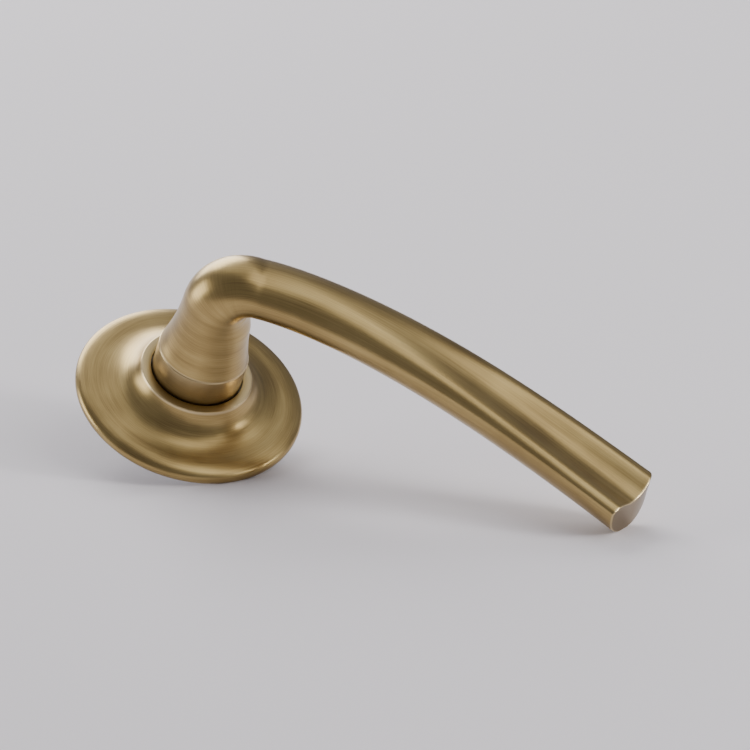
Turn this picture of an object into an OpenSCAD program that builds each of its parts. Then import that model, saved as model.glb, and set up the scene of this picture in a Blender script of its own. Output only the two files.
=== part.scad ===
// Door lever handle on a round rose, with a sprung rose mechanism inside.
// +Z up on the door, -Y out of the door face, +X along the lever.
// The rose sits against the door face on the plane y = 0.

/* [Lever arm] */
// Length of the arm along its curve, from the end of the bend
arm_length = 111.2; // [80:0.2:150]
// Distance of the arm's centre line from the door face
arm_projection = 44; // [40:0.1:60]
// How much farther from the door the centre line is at the tip
arm_rise = 2.7; // [0:0.1:6]
// Heading of the arm where it leaves the bend, degrees above level
arm_start_angle = 19.4; // [0:0.1:25]
// Total change of heading down to the tip, degrees
arm_sweep_angle = 34.5; // [0:0.1:50]
// Arm width beside the bend
arm_root_width = 17.7; // [10:0.1:20]
// Arm width at the tip
arm_tip_width = 19.8; // [10:0.1:24]
// Arm thickness beside the bend
arm_root_depth = 12.7; // [10:0.1:20]
// Height of the two front ridges over the centre line, at the tip
arm_tip_front = 1.9; // [1:0.1:10]
// Depth of the rounded back under the centre line, at the tip
arm_tip_back = 9.7; // [4:0.1:14]
// Depth of the hollow along the front of the arm at the tip
dish_depth = 2.2; // [0:0.1:3]
// How far back the rounded upper corner of the tip starts
tip_corner_length = 3.3; // [0:0.1:8]
// Width of the rounded upper corner of the tip
tip_corner_width = 9.2; // [4:0.1:9.2]
// Lean of the end face, its back edge reaching farther, degrees
tip_lean = 4.7; // [0:0.1:15]

/* [Neck] */
// Radius of the plain collar under the neck
collar_r = 11.8; // [9:0.1:16]
// Height of the collar's top edge from the door face
collar_top = 18.4; // [14:0.2:24]
// Neck radius just above the collar
neck_base_r = 11.7; // [8:0.05:15]
// Neck radius at the waist
neck_waist_r = 9.3; // [6:0.1:13]
// Radius of the centre line through the bend
bend_r = 8.15; // [7:0.05:16]

/* [Spigot] */
// Radius of the spigot that turns in the rose
spigot_r = 8; // [6.5:0.1:10]
// Width across the two flats that drive the spring
spigot_flats = 13.4; // [11:0.1:15]
// Square of the spindle socket
spindle_square = 8.2; // [7:0.1:9]
// Depth of the spindle socket
spindle_depth = 16.4; // [12:0.2:17]

/* [Rose cover] */
// Radius of the cover at its rim
cover_r = 30; // [26:0.5:34]
// Height of the boss around the collar
cover_height = 10.4; // [8:0.2:14]
// Radius of the crisp outer edge of the boss
boss_r = 14.55; // [13:0.05:17]
// Wall thickness of the cover
cover_wall = 0.8; // [0.6:0.1:1.5]
// Gap between the collar and the cover
collar_gap = 0.32; // [0.2:0.02:0.6]

/* [Base plate] */
// Radius of the base plate
base_r = 28.2; // [24:0.1:29]
// Thickness of the base plate
base_t = 2; // [1.5:0.1:3]
// Outer radius of the spring chamber
chamber_r = 14.6; // [13:0.1:16]
// Distance between the two bolt posts
post_centres = 38; // [34:0.5:44]
// Radius of the bolt posts
post_r = 3.75; // [3:0.05:5]
// Length of the bolt posts behind the door face
post_length = 6; // [4:0.5:14]
// Radius of the threaded hole in each post, drilled for M4
post_hole_r = 1.65; // [1.2:0.05:2.5]
// Distance between the two wood screw holes
screw_centres = 40; // [34:0.5:44]

/* [Return spring] */
// Wire diameter of the return spring
wire_d = 1.2; // [0.8:0.1:1.6]
// Coil centre line radius
coil_r = 10.9; // [10:0.1:12]
// Rise of the coil in one full turn
coil_pitch = 1.3; // [1.2:0.05:1.6]

/* [Travel] */
// How far the lever turns down from level, degrees
turn_range = 45; // [30:1:55]

/* [Hidden] */
$fn = 96;
fit = 0.05;
eps = 0.01;
// levels above the door face
spigot_end = 0.3;
clip_z = 0.5;
clip_t = 0.8;
wave_z = 1.3;
wave_t = 0.3;
floor_z = 1.9;
floor_top = 2.8;
driver_z = 3.3;
driver_t = 0.9;
coil_z = 4.9;
coil_turns = 1 - 40 / 360;
lid_z = 6.9;
lid_t = 0.8;
chamber_top = 7.7;
flange_t = 0.5;
collar_bottom = 8.5;
groove_r = 7;
recess_r = 11.2;
wall_r = chamber_r - 0.9;
bush_r = 9.2;
cover_bore_r = collar_r + collar_gap;
rim_inner_r = cover_r - cover_wall - 0.2;
stop_angle = 270;

brass = [0.62, 0.5, 0.33];
zinc = [0.6, 0.61, 0.62];
steel = [0.72, 0.73, 0.75];
spring_steel = [0.36, 0.37, 0.4];
nylon = [0.9, 0.89, 0.84];

// ---- helpers ----

// model with +Z out of the door, then turn it onto the door
module on_door() {
    rotate([90, 0, 0])
        children();
}

module ring(outer, inner, z0, z1) {
    translate([0, 0, z0])
        rotate_extrude()
            translate([inner, 0])
                square([outer - inner, z1 - z0]);
}

module disc(r, z0, z1) {
    translate([0, 0, z0])
        cylinder(r = r, h = z1 - z0);
}

function mix(a, b, t) = a + (b - a) * t;
function ease(t) = t <= 0 ? 0 : (t >= 1 ? 1 : t * t * (3 - 2 * t));

// ---- lever arm as a swept section ----

ring_points = 36;
neck_steps = 9;
bend_steps = 10;
arm_steps = 18;
turn_ease = 0.02;
turn_power = 0.285;
bend_z = arm_projection - bend_r;

// neck radius at a height
function neck_r(z) =
    let (t = (z - collar_top) / (bend_z - collar_top))
    neck_waist_r + (neck_base_r - neck_waist_r) * pow(1 - min(1, max(0, t)), 2.2);

// heading of the arm at a fraction of its length, turning most beside the bend
function turned(u) = pow(u + turn_ease, turn_power) - pow(turn_ease, turn_power);
function heading(u) = arm_start_angle - arm_sweep_angle * turned(u) / turned(1);

// running sum of the arm's plan curve, starting at the end of the bend
function arm_walk(n, i = 0, p = [0, 0], acc = []) =
    i > n ? acc :
    let (u = (i + 0.5) / n, s = arm_length / n)
    arm_walk(n, i + 1,
        p + s * [cos(heading(u)), sin(heading(u))],
        concat(acc, [p]));

arm_start = bend_r * [cos(arm_start_angle), sin(arm_start_angle)];
arm_points = [for (p = arm_walk(arm_steps)) p + arm_start];

// one section: a = half width, bo = outer half depth, bi = inner half depth
// sq = squareness of the outer side, d = depth of the hollow
function section_point(k, a, bo, bi, sq, d) =
    let (t = 360 * k / ring_points, c = cos(t), s = sin(t))
    s < 0 ? [a * c, bi * s] :
    let (e = 2 / sq,
        x = a * sign(c) * pow(abs(c), e),
        y = bo * pow(s, e),
        q = min(1, abs(x) / (0.8 * a)))
    [x, y - d * pow(1 - q * q, 2)];

// place a section: o = centre, w = width direction, n = outer direction
function placed(o, w, n, a, bo, bi, sq, d) =
    [for (k = [0 : ring_points - 1])
        let (p = section_point(k, a, bo, bi, sq, d))
        o + p[0] * w + p[1] * n];

across = [-sin(arm_start_angle), cos(arm_start_angle), 0];
along = [cos(arm_start_angle), sin(arm_start_angle), 0];

neck_rings = [for (i = [0 : neck_steps - 1])
    let (z = mix(collar_top - 0.1, bend_z - 0.2, i / (neck_steps - 1)),
        r = neck_r(z),
        tight = mix(r, min(r, bend_r - 0.35), ease((z - bend_z + 6) / 6)))
    placed([0, 0, z], across, -along, r, r, tight, 2, 0)];

bend_rings = [for (i = [0 : bend_steps - 1])
    let (t = (i + 0.35) / bend_steps, g = 90 * t,
        a = mix(neck_waist_r, arm_root_width / 2, ease(t * 1.1)),
        bo = mix(neck_waist_r, arm_root_depth / 2, t) + 0.5 * sin(180 * t),
        bi = mix(bend_r - 0.35, arm_root_depth / 2, t))
    placed(bend_r * (1 - cos(g)) * along + [0, 0, bend_z + bend_r * sin(g)],
        across, -cos(g) * along + [0, 0, sin(g)], a, bo, bi, 2, 0)];

// how far the rounded upper corner lies behind the end of the tip
function corner_back(x, a) =
    let (v = min(1, max(0, (x - a + tip_corner_width) / tip_corner_width)))
    tip_corner_length * (1 - sqrt(1 - v * v));

// the rings of the end face shrink towards this point, well inside the section
end_centre = [0, -3];

// section of the arm at one of its steps, shrunk for the end face
function arm_ring(i, shrink = 1) =
    let (u = i / arm_steps, h = heading(u), f = ease((u - 0.07) / 0.92),
        a = mix(arm_root_width, arm_tip_width, u) / 2,
        bo = mix(arm_root_depth / 2, arm_tip_front, f),
        bi = mix(arm_root_depth / 2, arm_tip_back, f),
        share = max(0, 1 - arm_length * (1 - u) / 18),
        o = [arm_points[i][0], arm_points[i][1], arm_projection + arm_rise * u])
    [for (k = [0 : ring_points - 1])
        let (q = section_point(k, a, bo, bi, mix(2, 3.6, f), dish_depth * f),
            p = end_centre + shrink * (q - end_centre))
        o + p[0] * [-sin(h), cos(h), 0] + p[1] * [0, 0, 1]
            - share * (corner_back(p[0], a) + p[1] * tan(tip_lean)) * [cos(h), sin(h), 0]];

arm_rings = [for (i = [0 : arm_steps]) arm_ring(i)];
end_rings = [for (shrink = [0.94, 0.8, 0.6, 0.35, 0.05]) arm_ring(arm_steps, shrink)];

sweep_rings = concat(neck_rings, bend_rings, arm_rings, end_rings);
sweep_count = len(sweep_rings);

module swept_arm() {
    all_points = [for (r = sweep_rings) for (p = r) p];
    last = (sweep_count - 1) * ring_points;
    sides = [for (i = [0 : sweep_count - 2]) for (k = [0 : ring_points - 1])
        let (k2 = (k + 1) % ring_points, b = i * ring_points,
            c = b + ring_points)
        for (tri = [[b + k, c + k, c + k2], [b + k, c + k2, b + k2]]) tri];
    first_cap = [for (k = [0 : ring_points - 1]) k];
    last_cap = [for (k = [ring_points - 1 : -1 : 0]) last + k];
    polyhedron(all_points, concat(sides, [first_cap, last_cap]), convexity = 6);
}

// collar and spigot turned in one piece, with the circlip groove
module turned_end() {
    rotate_extrude()
        polygon([[0, spigot_end], [spigot_r - 0.3, spigot_end],
            [spigot_r, spigot_end + 0.15], [spigot_r, clip_z - 0.02],
            [groove_r, clip_z - 0.02], [groove_r, clip_z + clip_t + 0.02],
            [spigot_r, clip_z + clip_t + 0.02], [spigot_r, collar_bottom],
            [collar_r, collar_bottom], [collar_r, collar_top],
            [0, collar_top]]);
}

module lever() {
    color(brass)
        on_door()
            difference() {
                union() {
                    swept_arm();
                    turned_end();
                }
                for (s = [-1, 1])
                    translate([-20, s * (spigot_flats / 2 + 10) - 10, -1])
                        cube([40, 20, driver_z + driver_t + 1.1]);
                spindle_socket();
            }
}

module spindle_socket() {
    translate([-spindle_square / 2, -spindle_square / 2, -1])
        cube([spindle_square, spindle_square, spindle_depth + 1 + spigot_end]);
}

// ---- parts that turn with the lever ----

lug_in = coil_r + wire_d / 2 + 0.25;
lug_out = lug_in + 0.75;
lug_w = 2.6;

module spring_driver() {
    color(steel)
        on_door()
            difference() {
                union() {
                    disc(bush_r + 0.5, driver_z, driver_z + driver_t);
                    rotate([0, 0, stop_angle])
                        translate([bush_r - 0.6, -lug_w / 2, driver_z])
                            cube([lug_out - bush_r + 0.6, lug_w, driver_t]);
                    rotate([0, 0, stop_angle])
                        translate([lug_in, -lug_w / 2, driver_z])
                            cube([lug_out - lug_in, lug_w, lid_z - 0.4 - driver_z]);
                }
                intersection() {
                    disc(spigot_r + fit, driver_z - 1, driver_z + driver_t + 1);
                    translate([-20, -spigot_flats / 2 - fit, driver_z - 1])
                        cube([40, spigot_flats + 2 * fit, driver_t + 2]);
                }
            }
}

module retaining_circlip() {
    color(spring_steel)
        on_door()
            difference() {
                union() {
                    ring(9.2, groove_r + fit, clip_z, clip_z + clip_t);
                    for (s = [-1, 1])
                        rotate([0, 0, 90 + s * 13])
                            translate([9.1, 0, clip_z])
                                cylinder(r = 1.3, h = clip_t, $fn = 48);
                }
                translate([-1, 0, clip_z - 1])
                    cube([2, 12, clip_t + 2]);
                for (s = [-1, 1])
                    rotate([0, 0, 90 + s * 13])
                        translate([9.2, 0, clip_z - 1])
                            cylinder(r = 0.6, h = clip_t + 2, $fn = 48);
            }
}

module wave_washer() {
    color(spring_steel)
        on_door()
            ring(10.4, spigot_r + 0.1, wave_z, wave_z + wave_t);
}

// ---- parts fixed to the door ----

module base_plate() {
    color(zinc)
        on_door()
            difference() {
                union() {
                    base_disc();
                    ring(chamber_r, wall_r, base_t - eps, chamber_top);
                    disc(wall_r + eps, base_t - eps, floor_top);
                    spring_stop();
                    for (a = [stop_angle + stop_offset,
                            stop_angle - turn_range - stop_offset])
                        turn_stop(a);
                }
                disc(recess_r, -1, floor_z);
                disc(bush_r, -1, floor_top + 1);
                for (s = [-1, 1])
                    translate([s * post_centres / 2, 0, -1])
                        cylinder(r = post_r + 0.03, h = 8);
                for (s = [-1, 1])
                    translate([0, s * screw_centres / 2, -1])
                        cylinder(r = 2.1, h = 8);
                for (s = [-1, 1])
                    translate([0, s * screw_centres / 2, 0.6])
                        cylinder(r1 = 2.1, r2 = 3.8, h = base_t - 0.6 + eps);
            }
}

// disc with the groove for the snap ring in its edge
module base_disc() {
    rotate_extrude()
        polygon([[0, 0], [base_r - 0.4, 0], [base_r, 0.3], [base_r, 0.5],
            [base_r - 0.8, 0.5], [base_r - 0.8, 1.7], [base_r, 1.7],
            [base_r, base_t], [0, base_t]]);
}

// fixed stop between the two legs of the spring
module spring_stop() {
    rotate([0, 0, stop_angle])
        translate([lug_out + 0.25, -lug_w / 2, floor_top - eps])
            cube([wall_r - lug_out, lug_w, lid_z - 0.4 - floor_top]);
}

// block on the chamber floor that ends the travel of the driver's arm
stop_offset = 13.2;
module turn_stop(a) {
    rotate([0, 0, a])
        translate([bush_r + 0.8, -0.9, floor_top - eps])
            cube([2.6, 1.8, driver_z + driver_t - 0.1 - floor_top]);
}

module chamber_lid() {
    color(steel)
        on_door()
            ring(wall_r, bush_r, lid_z, lid_z + lid_t);
}

module lower_bush() {
    color(nylon)
        on_door()
            ring(bush_r, spigot_r + fit, floor_z, floor_top + 0.2);
}

module upper_bush() {
    color(nylon)
        on_door()
            union() {
                ring(bush_r, spigot_r + fit, lid_z - 0.3, lid_z + lid_t + eps);
                ring(collar_r + 0.4, spigot_r + fit, lid_z + lid_t, lid_z + lid_t + flange_t);
            }
}

// ---- return spring: a coil with two outward legs ----

coil_steps = 72;
wire_sides = 10;
leg_angle = 20;
leg_out = wall_r - 0.35;

coil_path = concat(
    [leg_point(0, 0)],
    [for (i = [0 : coil_steps]) coil_point(i / coil_steps)],
    [leg_point(1, 0)]);

function coil_angle(t) = stop_angle + leg_angle + t * 360 * coil_turns;
function coil_point(t) =
    [coil_r * cos(coil_angle(t)), coil_r * sin(coil_angle(t)),
        coil_z + coil_pitch * coil_turns * t];
// the leg leaves the coil radially, at the height of its turn
function leg_point(t, d) =
    let (a = coil_angle(t) + (t == 0 ? -5 : 5))
    [leg_out * cos(a), leg_out * sin(a), coil_z + coil_pitch * coil_turns * t];

function unit(v) = v / norm(v);
function wire_ring(i) =
    let (n = len(coil_path) - 1,
        dir = i == 0 ? unit(coil_path[1] - coil_path[0]) :
            (i == n ? unit(coil_path[n] - coil_path[n - 1]) :
            unit(unit(coil_path[i + 1] - coil_path[i])
                + unit(coil_path[i] - coil_path[i - 1]))),
        side = unit(cross(dir, [0, 0, 1])),
        up = cross(side, dir))
    [for (k = [0 : wire_sides - 1])
        let (a = 360 * k / wire_sides)
        coil_path[i] + wire_d / 2 * (cos(a) * side + sin(a) * up)];

module return_spring() {
    rings = [for (i = [0 : len(coil_path) - 1]) wire_ring(i)];
    last = (len(rings) - 1) * wire_sides;
    sides = [for (i = [0 : len(rings) - 2]) for (k = [0 : wire_sides - 1])
        let (k2 = (k + 1) % wire_sides, b = i * wire_sides, c = b + wire_sides)
        for (tri = [[b + k, c + k2, c + k], [b + k, b + k2, c + k2]]) tri];
    first_cap = [for (k = [wire_sides - 1 : -1 : 0]) k];
    last_cap = [for (k = [0 : wire_sides - 1]) last + k];
    color(spring_steel)
        on_door()
            polyhedron([for (r = rings) for (p = r) p],
                concat(sides, [first_cap, last_cap]), convexity = 8);
}

// ---- fixings ----

module bolt_post(side) {
    color(steel)
        on_door()
            translate([side * post_centres / 2, 0, 0])
                difference() {
                    rotate_extrude()
                        polygon([[0, -post_length], [post_r - 0.4, -post_length],
                            [post_r, -post_length + 0.4], [post_r, base_t],
                            [post_r + 0.6, base_t], [post_r + 0.4, base_t + 0.4],
                            [0, base_t + 0.4]]);
                    translate([0, 0, -post_length - 1])
                        cylinder(r = post_hole_r, h = post_length + 1 + base_t - 0.4);
                }
}

module bolt_post_left() {
    bolt_post(-1);
}

module bolt_post_right() {
    bolt_post(1);
}

// open wire ring that grips the cover
module cover_snap_ring() {
    color(spring_steel)
        on_door()
            translate([0, 0, 1.1])
                rotate([0, 0, 105])
                    rotate_extrude(angle = 330)
                        translate([base_r - 0.2, 0])
                            circle(r = 0.5, $fn = 32);
}

// ---- rose cover: turned shell ----

profile_steps = 16;
rim_steps = 9;

function bezier(p, t) =
    pow(1 - t, 3) * p[0] + 3 * t * pow(1 - t, 2) * p[1]
    + 3 * t * t * (1 - t) * p[2] + pow(t, 3) * p[3];
function bezier_slope(p, t) =
    3 * (pow(1 - t, 2) * (p[1] - p[0]) + 2 * t * (1 - t) * (p[2] - p[1])
    + t * t * (p[3] - p[2]));

// hollow sweep from the boss edge out to the flat band
sweep_curve = [[boss_r, cover_height], [boss_r + 1.4, cover_height - 3.9],
    [boss_r + 4.4, cover_height - 6.2], [boss_r + 9.9, cover_height - 6.6]];
// rounded rim down to the widest point
rim_curve = [[boss_r + 9.9, cover_height - 6.6], [cover_r - 2.4, cover_height - 6.8],
    [cover_r, 3], [cover_r, 1.3]];
// roll under the rim to the door face
under_curve = [[cover_r, 1.3], [cover_r, 0.7], [cover_r - 0.25, 0.1],
    [cover_r - 0.7, 0]];

function curve(p, n, first = 0) = [for (i = [first : n]) bezier(p, i / n)];
function inset(p, n, last) =
    [for (i = [last : -1 : 0])
        let (d = unit(bezier_slope(p, i / n)))
        bezier(p, i / n) + cover_wall * [d[1], -d[0]]];
outer_profile = concat(curve(sweep_curve, profile_steps),
    curve(rim_curve, rim_steps, 1), curve(under_curve, 3, 1));
inner_profile = concat(
    [[rim_inner_r, 0], [rim_inner_r, 1.3], [rim_inner_r - 0.25, 1.9]],
    inset(rim_curve, rim_steps, 5), inset(sweep_curve, profile_steps, profile_steps - 1));
bore_profile = [[cover_bore_r, cover_height - 1.2], [cover_bore_r, cover_height]];
inner_clear = [for (p = inner_profile)
    if (p[1] < cover_height - 1.25 && p[0] > boss_r - 0.2) p];

module rose_cover() {
    color(brass)
        on_door()
            rotate_extrude()
                polygon(concat(outer_profile, inner_clear,
                    [[boss_r - 0.2, cover_height - 1.2]], bore_profile));
}

lever();
spring_driver();
retaining_circlip();
wave_washer();
base_plate();
chamber_lid();
lower_bush();
upper_bush();
return_spring();
bolt_post_left();
bolt_post_right();
cover_snap_ring();
rose_cover();
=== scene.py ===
import math

import bpy
from mathutils import Matrix, Vector


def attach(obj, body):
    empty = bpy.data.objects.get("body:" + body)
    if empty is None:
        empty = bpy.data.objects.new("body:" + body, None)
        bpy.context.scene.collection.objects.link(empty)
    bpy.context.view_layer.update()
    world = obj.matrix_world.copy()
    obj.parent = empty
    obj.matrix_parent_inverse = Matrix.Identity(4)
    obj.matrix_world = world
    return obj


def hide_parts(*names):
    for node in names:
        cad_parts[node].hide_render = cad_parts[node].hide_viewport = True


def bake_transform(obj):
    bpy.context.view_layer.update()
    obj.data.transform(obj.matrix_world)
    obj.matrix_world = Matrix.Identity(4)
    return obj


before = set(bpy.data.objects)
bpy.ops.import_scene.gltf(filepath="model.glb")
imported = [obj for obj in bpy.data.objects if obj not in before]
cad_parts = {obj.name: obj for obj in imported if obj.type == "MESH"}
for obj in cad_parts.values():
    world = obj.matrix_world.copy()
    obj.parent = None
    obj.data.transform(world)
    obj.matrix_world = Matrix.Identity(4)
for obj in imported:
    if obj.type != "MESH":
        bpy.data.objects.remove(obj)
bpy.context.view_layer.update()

MM = 0.001
OUT = Vector((0, 0, 1))

# ---- lever, in millimetres and degrees, the same as the CAD ----
COLLAR_R, COLLAR_BOTTOM, COLLAR_TOP = 11.8, 8.5, 18.4
NECK_BASE_R, NECK_WAIST_R, NECK_FLARE = 11.7, 9.3, 2.2
SPIGOT_R, SPIGOT_END, SPIGOT_FLATS = 8.0, 0.3, 13.4
CHAMFER, CHAMFER_TOP, FLATS_TOP = 0.3, 0.45, 4.3
GROOVE_R, GROOVE_BOTTOM, GROOVE_TOP = 7.0, 0.48, 1.32
SOCKET, SOCKET_TOP, SOCKET_FACE_R = 8.2, 16.7, 6.2
BEND_R, PROJECTION = 8.15, 44.0
BEND_Z = PROJECTION - BEND_R
BEND_INSIDE = BEND_R - 0.35
BEND_DRAW_IN = 6  # length of neck over which its inner side draws in towards the bend
BEND_BULGE = 0.5
ARM_LENGTH, ARM_RISE = 111.2, 2.7
ARM_START, ARM_SWEEP = 19.4, 34.5
TURN_EASE, TURN_POWER = 0.02, 0.285
ROOT_WIDTH, ROOT_DEPTH = 17.7, 12.7
TIP_WIDTH, TIP_FRONT, TIP_BACK = 19.8, 1.9, 9.7
FLATTEN_FROM, FLATTEN_OVER = 0.07, 0.92  # shares of the arm over which it flattens
DISH, DISH_SHARE = 2.2, 0.8  # depth at the tip, and share of the width that is dished
ROUND, SQUARISH = 2, 3.6  # exponents of the front's curve at the bend and at the tip
CORNER_LENGTH, CORNER_WIDTH = 3.3, 9.2
TIP_LEAN = 4.7
TIP_REACH = 18  # stretch before the tip over which its corner and lean grow
END_CENTRE = -3.0
END_EDGE = ((0.5, 0.0), (0.26, 0.01), (0.1, 0.07), (0.02, 0.18), (0.0, 0.28))  # back from the tip, inset

# ---- rose cover and return spring, in millimetres and degrees ----
COVER_R, COVER_H, COVER_WALL = 30.0, 10.4, 0.8
BOSS_R, BORE_R, BOSS_WALL = 14.55, 12.12, 1.2
RIM_INSIDE_R = 29.0
WIRE_D, COIL_R, COIL_Z = 1.2, 10.9, 4.9
COIL_TURN = 320
COIL_RISE = 1.3 * COIL_TURN / 360
COIL_START = 290
LEG_END, LEG_TURN = 13.35, 5

# ---- how finely the skins are divided ----
RING_POINTS = 96
COVER_POINTS = 192
NECK_STEPS, BEND_STEPS, ARM_STEPS = 22, 26, 96
COIL_STEPS, WIRE_SIDES = 120, 16
SOCKET_LEVELS = (SOCKET_TOP, 12, 8, 4, 1)
FACE_SHRINKS = (0.97, 0.9, 0.8, 0.65, 0.5, 0.35, 0.2, 0.05)
HOLD = 0.02  # a ring this close to a corner keeps its shading sharp

# ---- colours ----
DARK = (0.19, 0.125, 0.045)
MID = (0.39, 0.275, 0.105)
LIGHT = (0.54, 0.405, 0.17)
# lighter colour on edges, partly wear and partly a painted highlight, and how strongly the lever's and the
# cover's edges get it
WEAR_AND_HIGHLIGHT_COLOUR = (0.70, 0.56, 0.32)
LEVER_EDGE_WEAR_AND_HIGHLIGHT, COVER_EDGE_WEAR_AND_HIGHLIGHT = 0.55, 0.7
TABLE = (0.80, 0.765, 0.80)
SKY, SKY_STRENGTH = (0.96, 0.95, 1.0), 0.25

# ---- camera and table ----
LENS, SENSOR = 240, 36
EYE = Vector((201.9, -909.7, -895.8)) * MM
VIEW_BACK = Vector((0.1254, -0.6918, -0.7111)).normalized()
VIEW_UP = Vector((-0.4532, -0.6776, 0.5792)).normalized()
VIEW_RIGHT = VIEW_UP.cross(VIEW_BACK).normalized()
FLOOR_N = Vector((-0.3793, -0.8710, 0.3124)).normalized()
FLOOR_D = -14.28 * MM
TABLE_SIZE, TABLE_SHIFT = 3.0, 1.12
LAMP_TARGET = Vector((0.04, -0.02, 0.0))
LAMPS = {  # metres right, up and back of the target as the camera sees it, size in metres, watts
    "above": (-0.1, 1.5, 0.1, 1.2, 3.0),
    "behind": (-0.5, 1.1, -0.85, 1.1, 22.0),
    "left": (-1.1, 0.25, 0.0, 0.6, 5.0),
    "right": (0.95, 0.24, 0.37, 0.28, 7.0),
    "front": (0.7, 0.95, 0.55, 0.9, 4.5),
}


def mix(a, b, t):
    return a + (b - a) * t


def clamped(t):
    return min(1.0, max(0.0, t))


def ease(t):
    t = clamped(t)
    return t * t * (3 - 2 * t)


def row(p):
    """Modelling point (x along the lever, y up, z out of the door) in mm to the row frame in metres."""
    return Vector((p[0], -p[2], p[1])) * MM


# ---- node helpers ----


def new_material(name, shader):
    """A material with one surface shader of the kind given."""
    material = bpy.data.materials.new(name)
    material.use_nodes = True
    tree = material.node_tree
    tree.nodes.clear()
    output = tree.nodes.new("ShaderNodeOutputMaterial")
    surface = tree.nodes.new(shader)
    tree.links.new(surface.outputs[0], output.inputs["Surface"])
    return material, tree, surface


def math_node(tree, operation, a, b, clamp=False):
    """A math node over two inputs, each a number or an output socket."""
    maths = tree.nodes.new("ShaderNodeMath")
    maths.operation = operation
    maths.use_clamp = clamp
    for socket, value in zip(maths.inputs, (a, b)):
        if isinstance(value, (int, float)):
            socket.default_value = value
        else:
            tree.links.new(value, socket)
    return maths.outputs[0]


def attribute(tree, name, output):
    reader = tree.nodes.new("ShaderNodeAttribute")
    reader.attribute_name = name
    return reader.outputs[output]


def noise(tree, vector, stretch, offset=0.0, detail=4, rough=0.6):
    """Noise over a vector that is stretched by three factors and moved along."""
    mapping = tree.nodes.new("ShaderNodeMapping")
    mapping.inputs["Scale"].default_value = stretch
    mapping.inputs["Location"].default_value = (offset, offset * 0.7, offset * 1.3)
    tree.links.new(vector, mapping.inputs["Vector"])
    texture = tree.nodes.new("ShaderNodeTexNoise")
    texture.inputs["Scale"].default_value = 1.0
    texture.inputs["Detail"].default_value = detail
    texture.inputs["Roughness"].default_value = rough
    tree.links.new(mapping.outputs[0], texture.inputs["Vector"])
    return texture.outputs[0]


def ramp(tree, value, stops):
    """A colour ramp through (position, colour) stops."""
    ramp_node = tree.nodes.new("ShaderNodeValToRGB")
    elements = ramp_node.color_ramp.elements
    for position, _ in stops[1:-1]:
        elements.new(position)
    for element, (position, colour) in zip(elements, stops):
        element.position = position
        element.color = (*colour, 1)
    tree.links.new(value, ramp_node.inputs[0])
    return ramp_node.outputs[0]


def mix_value(tree, t, a, b):
    mixer = tree.nodes.new("ShaderNodeMix")
    mixer.data_type = "FLOAT"
    tree.links.new(t, mixer.inputs[0])
    tree.links.new(a, mixer.inputs[2])
    tree.links.new(b, mixer.inputs[3])
    return mixer.outputs[0]


def add_bump(tree, surface, height, strength, distance):
    bump = tree.nodes.new("ShaderNodeBump")
    bump.inputs["Strength"].default_value = strength
    bump.inputs["Distance"].default_value = distance
    tree.links.new(height, bump.inputs["Height"])
    tree.links.new(bump.outputs[0], surface.inputs["Normal"])


# ---- materials ----


def aged_brass(name):
    """Satin aged brass, brushed, with lighter edges that are partly wear and partly a painted highlight. It
    reads three vertex attributes:
    "flow" is (way along the profile, cos, sin) in mm,
    "lengthwise" says how far the brushing runs along the part instead of round it, and 2 is a cut face,
    and the edge attribute is high on edges that get wear and a painted highlight."""
    material, tree, surface = new_material(name, "ShaderNodeBsdfPrincipled")
    flow = attribute(tree, "flow", "Vector")
    lengthwise = attribute(tree, "lengthwise", "Fac")
    # fine brushed lines
    round_lines = noise(tree, flow, (7.0, 0.10, 0.10))
    long_lines = noise(tree, flow, (0.045, 4.2, 4.2), 4.0)
    lines = mix_value(tree, lengthwise, round_lines, long_lines)
    # broad soft bands where the patina wore through, and soft clouds over all
    round_bands = noise(tree, flow, (0.35, 0.04, 0.04), 9.0, 2, 0.5)
    long_bands = noise(tree, flow, (0.012, 0.22, 0.22), 2.0, 2, 0.5)
    bands = mix_value(tree, lengthwise, round_bands, long_bands)
    clouds = noise(tree, flow, (0.05, 0.07, 0.07), 6.0, 2, 0.5)
    tone = math_node(tree, "ADD", math_node(tree, "MULTIPLY", lines, 0.42),
                     math_node(tree, "MULTIPLY", bands, 0.26))
    tone = math_node(tree, "ADD", tone, math_node(tree, "MULTIPLY", clouds, 0.32))
    # cut faces are darker
    cut = math_node(tree, "SUBTRACT", lengthwise, 1.0, clamp=True)
    tone = math_node(tree, "SUBTRACT", tone, math_node(tree, "MULTIPLY", cut, 0.25))
    # edges get the lighter colour: partly wear, partly a painted highlight
    edge = tree.nodes.new("ShaderNodeMix")
    edge.data_type = "RGBA"
    tree.links.new(attribute(tree, "edge_wear_and_highlight", "Fac"), edge.inputs[0])
    tree.links.new(ramp(tree, tone, [(0.30, DARK), (0.50, MID), (0.70, LIGHT)]), edge.inputs[6])
    edge.inputs[7].default_value = (*WEAR_AND_HIGHLIGHT_COLOUR, 1)
    tree.links.new(edge.outputs[2], surface.inputs["Base Color"])
    rough = math_node(tree, "ADD", math_node(tree, "MULTIPLY", lines, 0.12), 0.25)
    tree.links.new(rough, surface.inputs["Roughness"])
    add_bump(tree, surface, lines, 0.10, 0.05 * MM)
    surface.inputs["Metallic"].default_value = 1.0
    surface.inputs["Coat Weight"].default_value = 0.3
    surface.inputs["Coat Roughness"].default_value = 0.35
    return material


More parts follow.
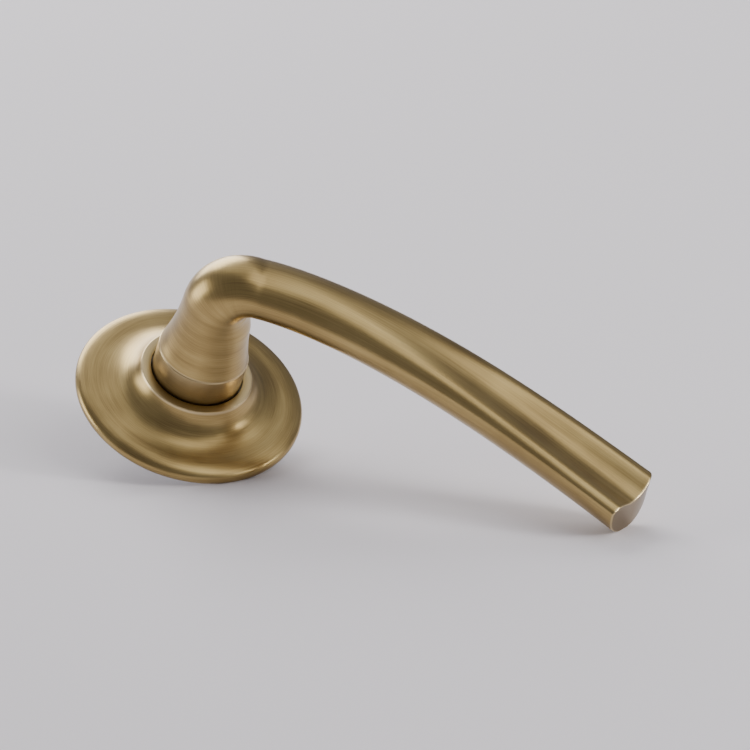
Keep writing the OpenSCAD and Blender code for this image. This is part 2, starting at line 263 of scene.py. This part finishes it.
def fine_grain(name, colour, rough, metallic=1.0):
    """Plain metal or plastic with a fine grain in colour, roughness and height."""
    material, tree, surface = new_material(name, "ShaderNodeBsdfPrincipled")
    place = tree.nodes.new("ShaderNodeTexCoord").outputs["Object"]
    speck = noise(tree, place, (1 / MM, 1 / MM, 1 / MM))
    dark = tuple(c * 0.72 for c in colour)
    tree.links.new(ramp(tree, speck, [(0.3, dark), (0.7, colour)]), surface.inputs["Base Color"])
    uneven = math_node(tree, "ADD", math_node(tree, "MULTIPLY", speck, 0.2), rough - 0.1)
    tree.links.new(uneven, surface.inputs["Roughness"])
    add_bump(tree, surface, speck, 0.08, 0.1 * MM)
    surface.inputs["Metallic"].default_value = metallic
    return material


def one_sided(name, colour):
    """A matt surface that is seen from its front and is clear from behind."""
    material, tree, surface = new_material(name, "ShaderNodeMixShader")
    matt = tree.nodes.new("ShaderNodeBsdfDiffuse")
    matt.inputs["Color"].default_value = (*colour, 1)
    clear = tree.nodes.new("ShaderNodeBsdfTransparent")
    side = tree.nodes.new("ShaderNodeNewGeometry").outputs["Backfacing"]
    tree.links.new(side, surface.inputs[0])
    tree.links.new(matt.outputs[0], surface.inputs[1])
    tree.links.new(clear.outputs[0], surface.inputs[2])
    return material


# ---- mesh helpers ----


def place_object(name, data):
    obj = bpy.data.objects.new(name, data)
    bpy.context.scene.collection.objects.link(obj)
    return obj


def smooth_mesh(name, verts, faces, material):
    data = bpy.data.meshes.new(name)
    data.from_pydata(verts, [], faces)
    data.validate()
    for poly in data.polygons:
        poly.use_smooth = True
    data.materials.append(material)
    return data


def skin(name, rings, material, caps=(), loop=False):
    """A skin over rings (points, lengthwise, scale, edge wear and painted highlight). caps holds the middle
    of each closed end;
    loop joins the last ring to the first."""
    verts, faces, flow, lengthwise, edge_wear_and_highlight = [], [], [], [], []
    count, sides = len(rings), len(rings[0][0])
    marks = [Vector(points[sides // 4]) for points, *_ in rings]
    ways = [0.0]
    for before, after in zip(marks, marks[1:]):
        ways.append(ways[-1] + (after - before).length)
    for way, (points, brushing, scale, wear_and_highlight) in zip(ways, rings):
        for k, p in enumerate(points):
            a = 2 * math.pi * k / sides
            verts.append(row(p))
            flow.append((way, scale * math.cos(a), scale * math.sin(a)))
            lengthwise.append(brushing)
            edge_wear_and_highlight.append(wear_and_highlight)
    for i in range(count if loop else count - 1):
        here, there = i * sides, (i + 1) % count * sides
        for k in range(sides):
            k2 = (k + 1) % sides
            faces.append((here + k, here + k2, there + k2, there + k))
    for end, centre in zip((0, count - 1), caps):
        middle = len(verts)
        verts.append(row(centre))
        flow.append((ways[end], 0.0, 0.0))
        lengthwise.append(rings[end][1])
        edge_wear_and_highlight.append(0.0)
        for k in range(sides):
            a, b = end * sides + k, end * sides + (k + 1) % sides
            faces.append((a, b, middle) if end else (b, a, middle))
    data = smooth_mesh(name, verts, faces, material)
    flow_values = [x for v in flow for x in v]
    data.attributes.new("flow", "FLOAT_VECTOR", "POINT").data.foreach_set("vector", flow_values)
    for attribute_name, values in (("lengthwise", lengthwise), ("edge_wear_and_highlight", edge_wear_and_highlight)):
        data.attributes.new(attribute_name, "FLOAT", "POINT").data.foreach_set("value", values)
    return place_object(name, data)


def rounded(profile, steps):
    """Corners (r, z, radius) of a profile, with an arc of that radius in each corner that has one."""
    out = []
    for i, (r, z, radius) in enumerate(profile):
        if radius <= 0 or i in (0, len(profile) - 1):
            out.append((r, z))
            continue
        corner = Vector((r, z))
        before, after = Vector(profile[i - 1][:2]) - corner, Vector(profile[i + 1][:2]) - corner
        to_before, to_after = before.normalized(), after.normalized()
        half = to_before.angle(to_after) / 2
        reach = min(radius / math.tan(half), before.length * 0.49, after.length * 0.49)
        real = reach * math.tan(half)
        centre = corner + (to_before + to_after).normalized() * (real / math.sin(half))
        start, end = corner + to_before * reach, corner + to_after * reach
        for j in range(steps + 1):
            spoke = start * (1 - j / steps) + end * (j / steps) - centre
            q = centre + spoke.normalized() * real
            out.append((q.x, q.y))
    return out


# ---- lever: one continuous skin, from the bottom of the socket to the tip ----


def across_and_along(angle):
    """Directions across and along the arm where it heads at this angle, in the plane of the door."""
    return Vector((-math.sin(angle), math.cos(angle), 0)), Vector((math.cos(angle), math.sin(angle), 0))


ACROSS, ALONG = across_and_along(math.radians(ARM_START))


def about_axis(reach, z):
    """Ring about the spindle axis, started on the arm's width direction; reach gives its radius."""
    points = []
    for k in range(RING_POINTS):
        a = 2 * math.pi * k / RING_POINTS
        d = ACROSS * math.cos(a) - ALONG * math.sin(a)
        r = reach(d)
        points.append((d.x * r, d.y * r, z))
    return points


def round_ring(r, z):
    return about_axis(lambda d: r, z)


def flat_ring(r, z):
    """Ring with the two spigot flats."""
    return about_axis(lambda d: min(r, SPIGOT_FLATS / 2 / max(1e-6, abs(d.y))), z)


def square_ring(half, z):
    return about_axis(lambda d: half / max(abs(d.x), abs(d.y)), z)


def section_points(half_width, front, back, squareness, dish):
    """Arm section as (x across, y out): a half-round back and a front that is squarer and dished."""
    points = []
    for k in range(RING_POINTS):
        t = 2 * math.pi * k / RING_POINTS
        c, s = math.cos(t), math.sin(t)
        if s < 0:
            points.append((half_width * c, back * s))
            continue
        x = half_width * math.copysign(abs(c) ** (2 / squareness), c)
        q = min(1.0, abs(x) / (DISH_SHARE * half_width))
        points.append((x, front * s ** (2 / squareness) - dish * (1 - q * q) ** 2))
    return points


def oval(centre, normal, half_width, front, back):
    return [tuple(centre + ACROSS * x + normal * y)
            for x, y in section_points(half_width, front, back, ROUND, 0)]


def heading(u):
    """Heading of the arm at share u of its length: it turns fast at the bend and slowly near the tip."""
    turned = [(v + TURN_EASE) ** TURN_POWER - TURN_EASE ** TURN_POWER for v in (u, 1.0)]
    return math.radians(ARM_START - ARM_SWEEP * turned[0] / turned[1])


def arm_centres():
    """Points of the arm's middle line, one for each step, summed up from its heading."""
    parts = 4
    pieces = ARM_STEPS * parts
    p = ALONG * BEND_R
    centres = [p]
    for i in range(pieces):
        p = p + across_and_along(heading((i + 0.5) / pieces))[1] * (ARM_LENGTH / pieces)
        if (i + 1) % parts == 0:
            centres.append(p)
    return centres


ARM_LINE = arm_centres()


def corner_back(x, half_width):
    """How far the rounded upper corner of the tip lies behind the end, at x across the arm."""
    v = clamped((x - half_width + CORNER_WIDTH) / CORNER_WIDTH)
    return CORNER_LENGTH * (1 - math.sqrt(1 - v * v))


def arm_ring(i, back=0.0, inset=0.0, shrink=1.0):
    """Section number i of the arm; back and inset round its end edge, shrink fills in the end face."""
    u = i / ARM_STEPS
    flatter = ease((u - FLATTEN_FROM) / FLATTEN_OVER)
    half_width = mix(ROOT_WIDTH, TIP_WIDTH, u) / 2 - inset
    front = mix(ROOT_DEPTH / 2, TIP_FRONT, flatter) - inset
    rear = mix(ROOT_DEPTH / 2, TIP_BACK, flatter) - inset
    share = max(0.0, 1 - ARM_LENGTH * (1 - u) / TIP_REACH)
    across, along = across_and_along(heading(u))
    centre = ARM_LINE[i] + OUT * (PROJECTION + ARM_RISE * u) - along * back
    points = []
    for x, y in section_points(half_width, front, rear, mix(ROUND, SQUARISH, flatter), DISH * flatter):
        x, y = x * shrink, mix(END_CENTRE, y, shrink)
        short = corner_back(x, half_width) + y * math.tan(math.radians(TIP_LEAN))
        points.append(tuple(centre + across * x + OUT * y - along * share * short))
    return points


def neck_radius(z):
    t = clamped((z - COLLAR_TOP) / (BEND_Z - COLLAR_TOP))
    return NECK_WAIST_R + (NECK_BASE_R - NECK_WAIST_R) * (1 - t) ** NECK_FLARE


def neck_ring(z):
    """The neck is round, and its inner side draws in towards the bend."""
    r = neck_radius(z)
    inner = mix(r, min(r, BEND_INSIDE), ease((z - BEND_Z + BEND_DRAW_IN) / BEND_DRAW_IN))
    return oval(Vector((0, 0, z)), -ALONG, r, r, inner)


def bend_ring(t):
    """Section at share t of the quarter turn from the neck to the arm."""
    turn = math.radians(90 * t)
    half_width = mix(NECK_WAIST_R, ROOT_WIDTH / 2, ease(t * 1.1))
    outer = mix(NECK_WAIST_R, ROOT_DEPTH / 2, t) + BEND_BULGE * math.sin(2 * turn)
    inner = mix(BEND_INSIDE, ROOT_DEPTH / 2, t)
    centre = ALONG * BEND_R * (1 - math.cos(turn)) + OUT * (BEND_Z + BEND_R * math.sin(turn))
    normal = -ALONG * math.cos(turn) + OUT * math.sin(turn)
    return oval(centre, normal, half_width, outer, inner)


def ring(points, lengthwise=0.0, scale=10.0, edge_wear_and_highlight=0.0):
    return points, lengthwise, scale, edge_wear_and_highlight


def socket_and_spigot():
    half = SOCKET / 2
    rings = [ring(square_ring(half, z)) for z in (*SOCKET_LEVELS, SPIGOT_END + CHAMFER)]
    rings.append(ring(square_ring(half + CHAMFER, SPIGOT_END)))
    flat_part = (
        (SOCKET_FACE_R, SPIGOT_END), (SPIGOT_R - CHAMFER, SPIGOT_END), (SPIGOT_R, CHAMFER_TOP),
        (SPIGOT_R, GROOVE_BOTTOM - HOLD), (SPIGOT_R, GROOVE_BOTTOM),
        (GROOVE_R, GROOVE_BOTTOM), (GROOVE_R, GROOVE_BOTTOM + HOLD),
        (GROOVE_R, GROOVE_TOP - HOLD), (GROOVE_R, GROOVE_TOP),
        (SPIGOT_R, GROOVE_TOP), (SPIGOT_R, GROOVE_TOP + 2 * HOLD),
        (SPIGOT_R, FLATS_TOP - 0.1), (SPIGOT_R, FLATS_TOP))
    rings += [ring(flat_ring(r, z)) for r, z in flat_part]
    rings += [ring(round_ring(SPIGOT_R, z)) for z in (FLATS_TOP, FLATS_TOP + 0.1)]
    return rings


def collar():
    profile = [
        (SPIGOT_R, FLATS_TOP + 0.1, 0), (SPIGOT_R, COLLAR_BOTTOM, 0.2), (COLLAR_R, COLLAR_BOTTOM, 0.35),
        (COLLAR_R, COLLAR_TOP - 0.3, 0.1), (NECK_BASE_R - 0.1, COLLAR_TOP - 0.05, 0.06),
        (NECK_BASE_R - 0.16, COLLAR_TOP + 0.4, 0)]
    rings = []
    for r, z in rounded(profile, 5):
        # the collar's top edge gets wear and a painted highlight
        on_edge = COLLAR_TOP - 0.45 < z < COLLAR_TOP + 0.1
        rings.append(ring(round_ring(r, z), edge_wear_and_highlight=LEVER_EDGE_WEAR_AND_HIGHLIGHT if on_edge else 0.0))
    return rings


def neck_and_bend():
    rings = []
    for i in range(1, NECK_STEPS + 1):
        rings.append(ring(neck_ring(mix(COLLAR_TOP + 0.6, BEND_Z - 0.2, i / NECK_STEPS))))
    for i in range(BEND_STEPS):
        t = (i + 0.35) / BEND_STEPS
        rings.append(ring(bend_ring(t), ease((t - 0.35) / 0.55)))
    return rings


def arm():
    rings = [ring(arm_ring(i), 1.0) for i in range(ARM_STEPS)]
    for back, inset in END_EDGE:
        # the rounded end edge of the tip gets wear and a painted highlight
        wear_and_highlight = LEVER_EDGE_WEAR_AND_HIGHLIGHT if 0 < back < 0.4 else 0.0
        rings.append(ring(arm_ring(ARM_STEPS, back, inset), 1.0, edge_wear_and_highlight=wear_and_highlight))
    for shrink in FACE_SHRINKS:
        rings.append(ring(arm_ring(ARM_STEPS, 0.0, END_EDGE[-1][1], shrink), 2.0, 10.0 * shrink))
    return rings


lever_rings = socket_and_spigot() + collar() + neck_and_bend() + arm()
tip_centre = sum((Vector(p) for p in lever_rings[-1][0]), Vector((0, 0, 0))) / RING_POINTS
lever = skin("lever_casting", lever_rings, aged_brass("aged_brass_lever"), ((0, 0, SOCKET_TOP), tip_centre))
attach(lever, "lever_arm")
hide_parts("lever")

# ---- rose cover: lathed shell ----

SWEEP_END = (BOSS_R + 9.9, COVER_H - 6.6)
RIM_END = (COVER_R, 1.3)
SWEEP_CURVE = [(BOSS_R, COVER_H), (BOSS_R + 1.4, COVER_H - 3.9), (BOSS_R + 4.4, COVER_H - 6.2), SWEEP_END]
RIM_CURVE = [SWEEP_END, (COVER_R - 2.4, COVER_H - 6.8), (COVER_R, 3.0), RIM_END]
UNDER_CURVE = [RIM_END, (COVER_R, 0.7), (COVER_R - 0.25, 0.1), (COVER_R - 0.7, 0.0)]


def bezier(curve, t):
    weights = ((1 - t) ** 3, 3 * t * (1 - t) ** 2, 3 * t * t * (1 - t), t ** 3)
    return Vector([sum(w * q[axis] for w, q in zip(weights, curve)) for axis in (0, 1)])


def inner_wall(curve, t):
    """Point on the inside of the shell, one wall in from the curve."""
    d = (bezier(curve, min(1, t + 0.001)) - bezier(curve, max(0, t - 0.001))).normalized()
    q = bezier(curve, t)
    return q.x + COVER_WALL * d.y, q.y - COVER_WALL * d.x


def cover_profile():
    """Closed outline of the shell: down the outside, under the rim, up the inside and out at the bore."""
    outer = [(BOSS_R, COVER_H, 0.3)]
    for curve, steps in ((SWEEP_CURVE, 28), (RIM_CURVE, 20), (UNDER_CURVE, 6)):
        outer += [(*bezier(curve, i / steps), 0.0) for i in range(1, steps + 1)]
    boss_inside = BOSS_R - 0.2
    under_boss = COVER_H - BOSS_WALL
    hollow = [inner_wall(RIM_CURVE, i / 9) for i in range(5, -1, -1)]
    hollow += [inner_wall(SWEEP_CURVE, i / 16) for i in range(15, -1, -1)]
    inner = [(RIM_INSIDE_R, 0.0, 0.0), (RIM_INSIDE_R, 1.3, 0.0), (RIM_INSIDE_R - 0.25, 1.9, 0.0)]
    inner += [(r, z, 0.0) for r, z in hollow if z < under_boss - 0.05 and r > boss_inside]
    inner += [(boss_inside, under_boss, 0.0), (BORE_R, under_boss, 0.1), (BORE_R, COVER_H, 0.12)]
    looped = [inner[-1]] + outer + inner + [outer[0]]
    return rounded(looped, 4)[1:-1]


def lathed(name, profile, material):
    rings = []
    for r, z in profile:
        # the boss's top edge gets wear and a painted highlight
        on_edge = math.hypot(r - BOSS_R, z - COVER_H) < 0.45 and r < BOSS_R + 0.3
        angles = [2 * math.pi * k / COVER_POINTS for k in range(COVER_POINTS)]
        points = [(r * math.cos(a), r * math.sin(a), z) for a in angles]
        rings.append(ring(points, 0.0, r, COVER_EDGE_WEAR_AND_HIGHLIGHT if on_edge else 0.0))
    return skin(name, rings, material, loop=True)


cover = lathed("rose_cover_shell", cover_profile(), aged_brass("aged_brass_rose"))
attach(cover, "cover")
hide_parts("rose_cover")

# ---- mechanism behind the cover ----


def coil_point(t, radius=COIL_R, ahead=0):
    a = math.radians(COIL_START + COIL_TURN * t + ahead)
    return Vector((radius * math.cos(a), radius * math.sin(a), COIL_Z + COIL_RISE * t))


def spring_object(name, material):
    """Round wire through the coil and its two legs, with a share for each point that grows along the coil."""
    line = [(coil_point(0, LEG_END, -LEG_TURN), 0.0)]
    line += [(coil_point(i / COIL_STEPS), i / COIL_STEPS) for i in range(COIL_STEPS + 1)]
    line += [(coil_point(1, LEG_END, LEG_TURN), 1.0)]
    last = len(line) - 1
    verts, faces, share = [], [], []
    for i, (centre, t) in enumerate(line):
        before = line[max(i, 1)][0] - line[max(i, 1) - 1][0]
        after = line[i + 1][0] - centre if i < last else before
        d = (before.normalized() + after.normalized()).normalized()
        side = d.cross(OUT).normalized()
        up = side.cross(d)
        for k in range(WIRE_SIDES):
            g = 2 * math.pi * k / WIRE_SIDES
            verts.append(row(centre + (side * math.cos(g) + up * math.sin(g)) * WIRE_D / 2))
            share.append(t)
    for i in range(last):
        here, there = i * WIRE_SIDES, (i + 1) * WIRE_SIDES
        for k in range(WIRE_SIDES):
            k2 = (k + 1) % WIRE_SIDES
            faces.append((here + k, here + k2, there + k2, there + k))
    faces.append(tuple(reversed(range(WIRE_SIDES))))
    faces.append(tuple(range(last * WIRE_SIDES, (last + 1) * WIRE_SIDES)))
    data = smooth_mesh(name, verts, faces, material)
    for end_face in data.polygons[-2:]:
        end_face.use_smooth = False
    return place_object(name, data), share


zinc = fine_grain("die_cast_zinc", (0.5, 0.5, 0.51), 0.48)
steel = fine_grain("plated_steel", (0.62, 0.62, 0.6), 0.34)
dark_steel = fine_grain("spring_steel", (0.16, 0.16, 0.17), 0.4)
nylon = fine_grain("nylon", (0.78, 0.76, 0.7), 0.45, metallic=0.0)
FINISH = {
    "base_plate": zinc,
    "chamber_lid": steel,
    "lower_bush": nylon,
    "upper_bush": nylon,
    "bolt_post_left": steel,
    "bolt_post_right": steel,
    "cover_snap_ring": dark_steel,
    "spring_driver": steel,
    "retaining_circlip": dark_steel,
    "wave_washer": dark_steel,
}
for name, material in FINISH.items():
    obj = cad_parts[name]
    obj.data.materials.clear()
    obj.data.materials.append(material)

wire, share = spring_object("return_spring_wire", dark_steel)
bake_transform(wire)
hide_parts("return_spring")

# ---- table top, lights and camera ----


def add_table():
    """The table touches the rose's rim, the bolt posts and the tip, and reaches away from the camera."""
    bpy.ops.mesh.primitive_plane_add(size=TABLE_SIZE)
    table = bpy.context.object
    table.name = "table_top"
    towards = (VIEW_BACK - FLOOR_N * VIEW_BACK.dot(FLOOR_N)).normalized()
    sideways = towards.cross(FLOOR_N)
    table.rotation_mode = "QUATERNION"
    table.rotation_quaternion = Matrix((sideways, towards, FLOOR_N)).transposed().to_quaternion()
    table.location = FLOOR_N * FLOOR_D - towards * TABLE_SHIFT
    table.data.materials.append(one_sided("table_top", TABLE))


def add_sky():
    world = bpy.data.worlds.new("studio")
    bpy.context.scene.world = world
    world.use_nodes = True
    background = world.node_tree.nodes["Background"]
    background.inputs["Color"].default_value = (*SKY, 1)
    background.inputs["Strength"].default_value = SKY_STRENGTH


def add_camera():
    data = bpy.data.cameras.new("camera")
    data.lens = LENS
    data.sensor_width = SENSOR
    data.clip_end = 20
    camera = place_object("camera", data)
    camera.location = EYE
    camera.rotation_mode = "QUATERNION"
    camera.rotation_quaternion = Matrix((VIEW_RIGHT, VIEW_UP, VIEW_BACK)).transposed().to_quaternion()
    bpy.context.scene.camera = camera


def add_lamp(name, right, up, back, size, power):
    """Square soft lamp, placed by directions seen from the camera and facing the target."""
    data = bpy.data.lights.new(name, "AREA")
    data.size = size
    data.energy = power
    lamp = place_object(name, data)
    lamp.location = LAMP_TARGET + VIEW_RIGHT * right + VIEW_UP * up + VIEW_BACK * back
    lamp.rotation_mode = "QUATERNION"
    lamp.rotation_quaternion = (lamp.location - LAMP_TARGET).to_track_quat("Z", "Y")


add_table()
add_sky()
add_camera()
for name, values in LAMPS.items():
    add_lamp(name, *values)
